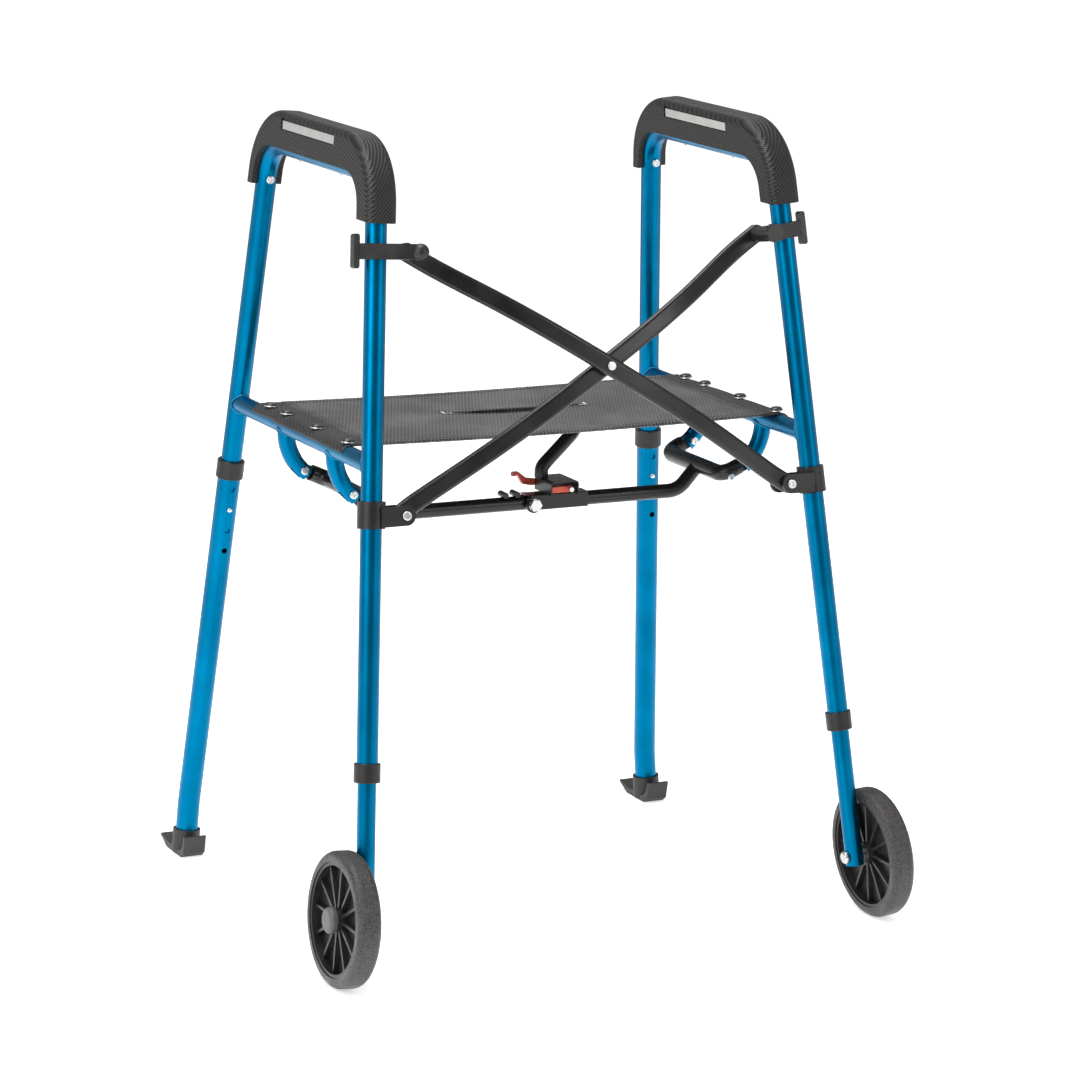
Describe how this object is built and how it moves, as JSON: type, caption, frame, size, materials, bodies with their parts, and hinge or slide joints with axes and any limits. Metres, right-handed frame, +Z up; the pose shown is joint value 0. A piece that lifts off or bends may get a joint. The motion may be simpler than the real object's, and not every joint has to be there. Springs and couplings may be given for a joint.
{
  "type": "folding walking frame",
  "caption": "Side-folding walking frame with padded side handles, a woven sling seat, front wheels, rear glides and a crossed front brace.",
  "frame": {"origin": "on the floor under the middle of the frame's bounding box", "axes": "+Z up, -Y the way the frame is walked, wheels at the -Y end, latch on the +X side"},
  "size_m": [0.7148, 0.6588, 0.9191],
  "materials": {
    "blue_anodised_aluminium": "satin anodised",
    "black_powder_coat": "satin powder coat",
    "black_plastic": "moulded satin",
    "grip_rubber": "moulded with a fine diamond texture",
    "label_plate": "satin",
    "zinc_plated_steel": "bright zinc plated",
    "black_rivets": "polished black",
    "glide_rubber": "moulded matte",
    "tyre_rubber": "grainy moulded",
    "rim_plastic": "moulded satin",
    "cap_plastic": "moulded satin",
    "red_plastic": "moulded semi-gloss",
    "sling_fabric": "woven mesh",
    "white_thread": "stitched"
  },
  "bodies": {
    "left_frame": {"frame_tube_left": "blue_anodised_aluminium", "side_rail_left": "blue_anodised_aluminium", "hanger_tubes_left": "blue_anodised_aluminium", "frame_screws_left": "zinc_plated_steel", "front_collar_left": "black_plastic", "grip_left": "grip_rubber", "grip_labels_left": "label_plate", "seat_rivets_left": "black_rivets", "upper_clamp_left": "black_plastic", "brace_pivot_left": "blue_anodised_aluminium", "seat_sling": "sling_fabric", "seat_bartacks": "white_thread"},
    "right_frame": {"frame_tube_right": "blue_anodised_aluminium", "side_rail_right": "blue_anodised_aluminium", "hanger_tubes_right": "blue_anodised_aluminium", "frame_screws_right": "zinc_plated_steel", "front_collar_right": "black_plastic", "grip_right": "grip_rubber", "grip_labels_right": "label_plate", "seat_rivets_right": "black_rivets", "upper_clamp_right": "black_plastic", "brace_pivot_right": "blue_anodised_aluminium"},
    "left_arm": {"spreader_arm_left": "black_powder_coat", "latch_rollers": "black_powder_coat", "bail_screw_left": "zinc_plated_steel"},
    "right_arm": {"spreader_arm_right": "black_powder_coat", "hinge_channel": "black_powder_coat", "hinge_bolt": "zinc_plated_steel", "latch_cover": "black_powder_coat", "lever_pin": "zinc_plated_steel", "lift_handle": "black_powder_coat", "bail_screw_right": "zinc_plated_steel"},
    "lever": {"latch_lever": "red_plastic"},
    "brace_front": {"brace_bar_front": "black_powder_coat", "brace_rivet": "zinc_plated_steel"},
    "brace_rear": {"brace_bar_rear": "black_powder_coat"},
    "sleeve_left": {"sleeve_bracket_left": "black_plastic", "bracket_screws_left": "zinc_plated_steel"},
    "front_leg_left": {"front_extension_left": "blue_anodised_aluminium", "axle_set_left": "zinc_plated_steel"},
    "wheel_left": {"tyre_left": "tyre_rubber", "rim_left": "rim_plastic", "hub_cap_left": "cap_plastic"},
    "front_button_left": {"front_button_left": "zinc_plated_steel"},
    "rear_leg_left": {"rear_leg_left": "blue_anodised_aluminium", "rear_collar_left": "black_plastic", "glide_left": "glide_rubber"},
    "rear_button_left": {"rear_button_left": "zinc_plated_steel"},
    "sleeve_right": {"sleeve_bracket_right": "black_plastic", "bracket_screws_right": "zinc_plated_steel"},
    "front_leg_right": {"front_extension_right": "blue_anodised_aluminium", "axle_set_right": "zinc_plated_steel"},
    "wheel_right": {"tyre_right": "tyre_rubber", "rim_right": "rim_plastic", "hub_cap_right": "cap_plastic"},
    "front_button_right": {"front_button_right": "zinc_plated_steel"},
    "rear_leg_right": {"rear_leg_right": "blue_anodised_aluminium", "rear_collar_right": "black_plastic", "glide_right": "glide_rubber"},
    "rear_button_right": {"rear_button_right": "zinc_plated_steel"}
  },
  "joints": [
    {"name": "fold", "type": "hinge", "parent": "left_frame", "child": "left_arm", "pos_m": [-0.2532, 0.01075, 0.5117], "axis": [0, -1, 0], "range_deg": [0, 78.3], "deforming": ["seat_sling", "seat_bartacks"]},
    {"name": "centre_hinge", "type": "hinge", "parent": "left_arm", "child": "right_arm", "pos_m": [0, 0.01075, 0.469], "axis": [0, -1, 0], "range_deg": [-164.5, 0]},
    {"name": "right_hanger_hinge", "type": "hinge", "parent": "right_arm", "child": "right_frame", "pos_m": [0.2532, 0.01075, 0.5117], "axis": [0, -1, 0], "range_deg": [0, 78.5]},
    {"name": "brace_front_pivot", "type": "hinge", "parent": "left_frame", "child": "brace_front", "pos_m": [-0.22, -0.13749, 0.7917], "axis": [0, 0.9871, -0.1599], "range_deg": [0, 48]},
    {"name": "brace_rear_pivot", "type": "hinge", "parent": "right_frame", "child": "brace_rear", "pos_m": [0.22, -0.13749, 0.7917], "axis": [0, -0.9871, 0.1599], "range_deg": [0, 48]},
    {"name": "latch_lever_hinge", "type": "hinge", "parent": "right_arm", "child": "lever", "pos_m": [0.044, -0.00725, 0.4855], "axis": [0, 1, 0], "range_deg": [0, 12], "stiffness_Nm_per_rad": 0.12, "springref_deg": -14.32},
    {"name": "sleeve_slide_left", "type": "slide", "parent": "left_frame", "child": "sleeve_left", "axis": [-0.0766, -0.1604, -0.9841], "range_m": [0, 0.2398]},
    {"name": "front_leg_height_left", "type": "slide", "parent": "left_frame", "child": "front_leg_left", "axis": [0.0766, 0.1604, 0.9841], "range_m": [-0.0254, 0.0508], "deforming": ["front_button_left"]},
    {"name": "rear_leg_height_left", "type": "slide", "parent": "left_frame", "child": "rear_leg_left", "axis": [0.077, -0.1188, 0.9899], "range_m": [-0.0254, 0.0508], "deforming": ["rear_button_left"]},
    {"name": "wheel_spin_left", "type": "hinge", "parent": "front_leg_left", "child": "wheel_left", "pos_m": [-0.33514, -0.25364, 0.07626], "axis": [0.997, 0, -0.0776], "continuous": true},
    {"name": "rear_button_press_left", "type": "slide", "parent": "left_frame", "child": "rear_button_left", "axis": [0.0092, 0.9929, 0.1184], "range_m": [0, 0.004], "stiffness_N_per_m": 900, "springref_m": -0.002},
    {"name": "front_button_press_left", "type": "slide", "parent": "front_leg_left", "child": "front_button_left", "axis": [0.0124, -0.9871, 0.1599], "range_m": [0, 0.004], "stiffness_N_per_m": 900, "springref_m": -0.002},
    {"name": "sleeve_slide_right", "type": "slide", "parent": "right_frame", "child": "sleeve_right", "axis": [0.0766, -0.1604, -0.9841], "range_m": [0, 0.2398]},
    {"name": "front_leg_height_right", "type": "slide", "parent": "right_frame", "child": "front_leg_right", "axis": [-0.0766, 0.1604, 0.9841], "range_m": [-0.0254, 0.0508], "deforming": ["front_button_right"]},
    {"name": "rear_leg_height_right", "type": "slide", "parent": "right_frame", "child": "rear_leg_right", "axis": [-0.077, -0.1188, 0.9899], "range_m": [-0.0254, 0.0508], "deforming": ["rear_button_right"]},
    {"name": "wheel_spin_right", "type": "hinge", "parent": "front_leg_right", "child": "wheel_right", "pos_m": [0.33514, -0.25364, 0.07626], "axis": [0.997, 0, 0.0776], "continuous": true},
    {"name": "rear_button_press_right", "type": "slide", "parent": "right_frame", "child": "rear_button_right", "axis": [-0.0092, 0.9929, 0.1184], "range_m": [0, 0.004], "stiffness_N_per_m": 900, "springref_m": -0.002},
    {"name": "front_button_press_right", "type": "slide", "parent": "front_leg_right", "child": "front_button_right", "axis": [-0.0124, -0.9871, 0.1599], "range_m": [0, 0.004], "stiffness_N_per_m": 900, "springref_m": -0.002}
  ],
  "couplings": [
    {"joint": "centre_hinge", "follows": "fold", "ratio": -2.0945},
    {"joint": "right_hanger_hinge", "follows": "fold", "ratio": 1},
    {"joint": "brace_front_pivot", "follows": "fold", "ratio": 0.61069},
    {"joint": "brace_rear_pivot", "follows": "fold", "ratio": 0.61069},
    {"joint": "sleeve_slide_left", "follows": "fold", "m_per_rad": 0.17522},
    {"joint": "sleeve_slide_right", "follows": "fold", "m_per_rad": 0.17522}
  ]
}
